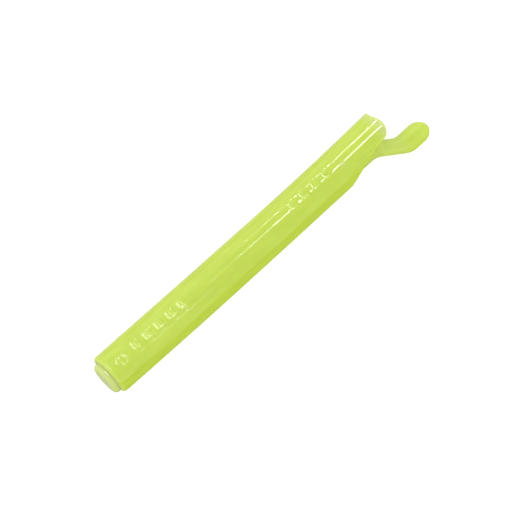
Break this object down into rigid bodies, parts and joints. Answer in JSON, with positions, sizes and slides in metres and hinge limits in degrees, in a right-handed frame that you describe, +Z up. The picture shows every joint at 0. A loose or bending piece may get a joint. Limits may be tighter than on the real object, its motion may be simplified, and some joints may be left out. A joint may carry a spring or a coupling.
{
  "type": "sealing stick",
  "caption": "Two-piece stick for sealing bags: a round rod with a cranked finger tongue, and a split sleeve that slides lengthwise over the rod.",
  "frame": {"origin": "centre of the bounding box at the plane the stick lies on", "axes": "+X along the stick from its plain end to its finger tongue, +Z up with the stick lying on its side, the slot and tongue on the -Y side"},
  "size_m": [0.1194, 0.0172, 0.0133],
  "materials": {
    "rod_plastic": "gloss translucent",
    "sleeve_plastic": "gloss translucent"
  },
  "bodies": {
    "rod": {"rod": "rod_plastic"},
    "sleeve": {"sleeve": "sleeve_plastic"}
  },
  "joints": [
    {"name": "sleeve_slide", "type": "slide", "parent": "rod", "child": "sleeve", "axis": [-1, 0, 0], "range_m": [0, 0.11]}
  ]
}
